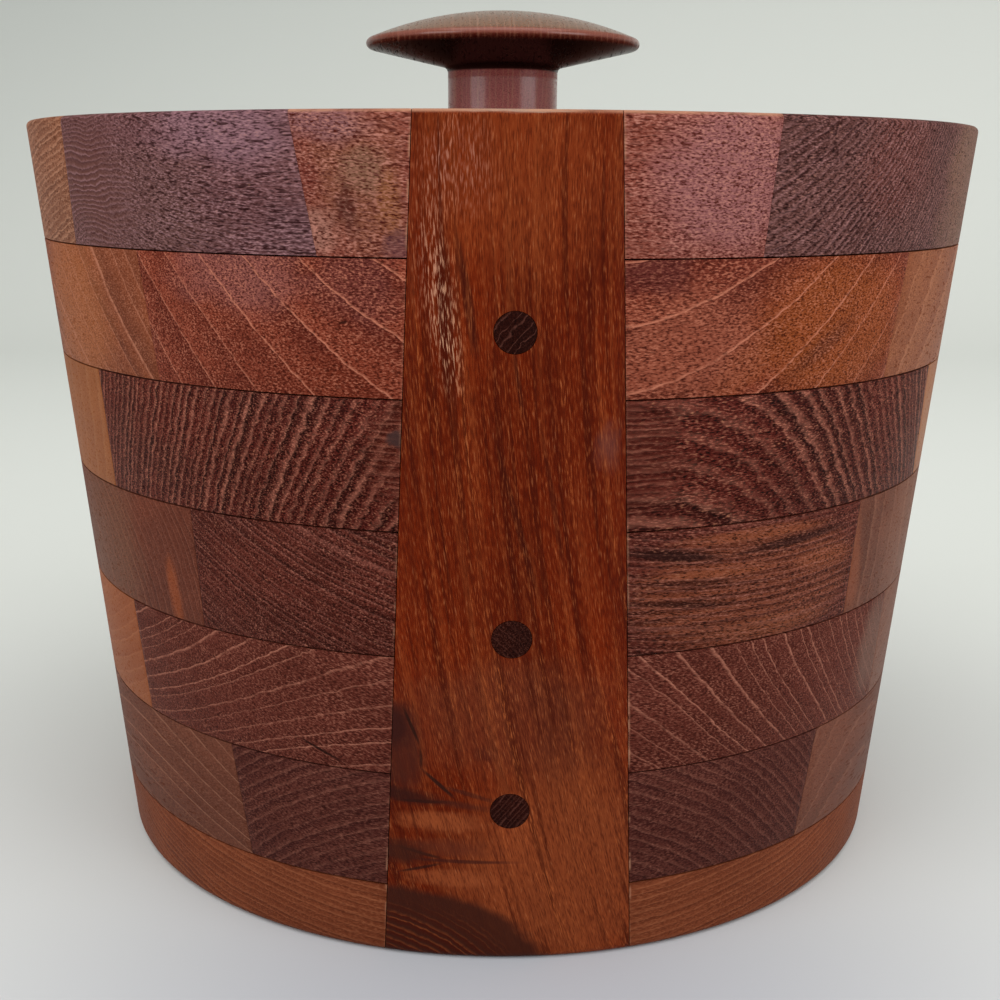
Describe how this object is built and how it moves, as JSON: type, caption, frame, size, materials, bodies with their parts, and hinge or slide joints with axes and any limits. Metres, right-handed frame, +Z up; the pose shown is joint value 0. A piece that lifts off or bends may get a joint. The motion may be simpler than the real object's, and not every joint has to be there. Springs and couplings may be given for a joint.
{
  "type": "lidded wooden canister",
  "caption": "Tapered round canister of stacked teak bricks with inlaid pinned staves, a lift-out lid seated in the rim and a turned mushroom knob.",
  "frame": {"origin": "centre of the foot's flat underside, where the canister stands", "axes": "+Z up along the turning axis, -Y towards the front stave, +X to the viewer's right"},
  "size_m": [0.1918, 0.1918, 0.1695],
  "materials": {
    "teak_plum": "oiled teak, purple brown, open pores",
    "teak_umber": "oiled teak, dark brown, open pores",
    "teak_maroon": "oiled teak, dark red brown",
    "teak_russet": "oiled teak, red brown",
    "teak_chestnut": "oiled teak, orange brown",
    "teak_tan": "oiled teak, light sapwood side",
    "teak_stave": "oiled and rubbed teak, glossy red orange, straight grain",
    "teak_pin": "dark end grain, sanded flush",
    "teak_lid": "oiled teak, turned",
    "teak_knob": "oiled teak, turned and polished"
  },
  "bodies": {
    "bucket": {"base_board": "teak_chestnut", "course_1_brick_1": "teak_plum", "course_1_brick_2": "teak_russet", "course_1_brick_3": "teak_plum", "course_1_brick_4": "teak_maroon", "course_1_brick_5": "teak_russet", "course_1_brick_6": "teak_umber", "course_2_brick_1": "teak_chestnut", "course_2_brick_2": "teak_russet", "course_2_brick_3": "teak_chestnut", "course_2_brick_4": "teak_tan", "course_3_brick_1": "teak_umber", "course_3_brick_2": "teak_tan", "course_3_brick_3": "teak_plum", "course_3_brick_4": "teak_tan", "course_4_brick_1": "teak_russet", "course_4_brick_2": "teak_chestnut", "course_4_brick_3": "teak_umber", "course_4_brick_4": "teak_maroon", "course_5_brick_1": "teak_maroon", "course_5_brick_2": "teak_umber", "course_5_brick_3": "teak_russet", "course_5_brick_4": "teak_chestnut", "course_6_brick_1": "teak_maroon", "course_6_brick_2": "teak_russet", "course_6_brick_3": "teak_maroon", "course_6_brick_4": "teak_umber", "front_stave": "teak_stave", "front_stave_pin_1": "teak_pin", "front_stave_pin_2": "teak_pin", "front_stave_pin_3": "teak_pin", "back_stave": "teak_stave", "back_stave_pin_1": "teak_pin", "back_stave_pin_2": "teak_pin", "back_stave_pin_3": "teak_pin"},
    "lid": {"lid": "teak_lid", "knob": "teak_knob", "knob_dowel": "teak_tan"}
  },
  "joints": [
    {"name": "lid_lift", "type": "slide", "parent": "bucket", "child": "lid", "axis": [0, 0, 1], "range_m": [0, 0.15]}
  ]
}
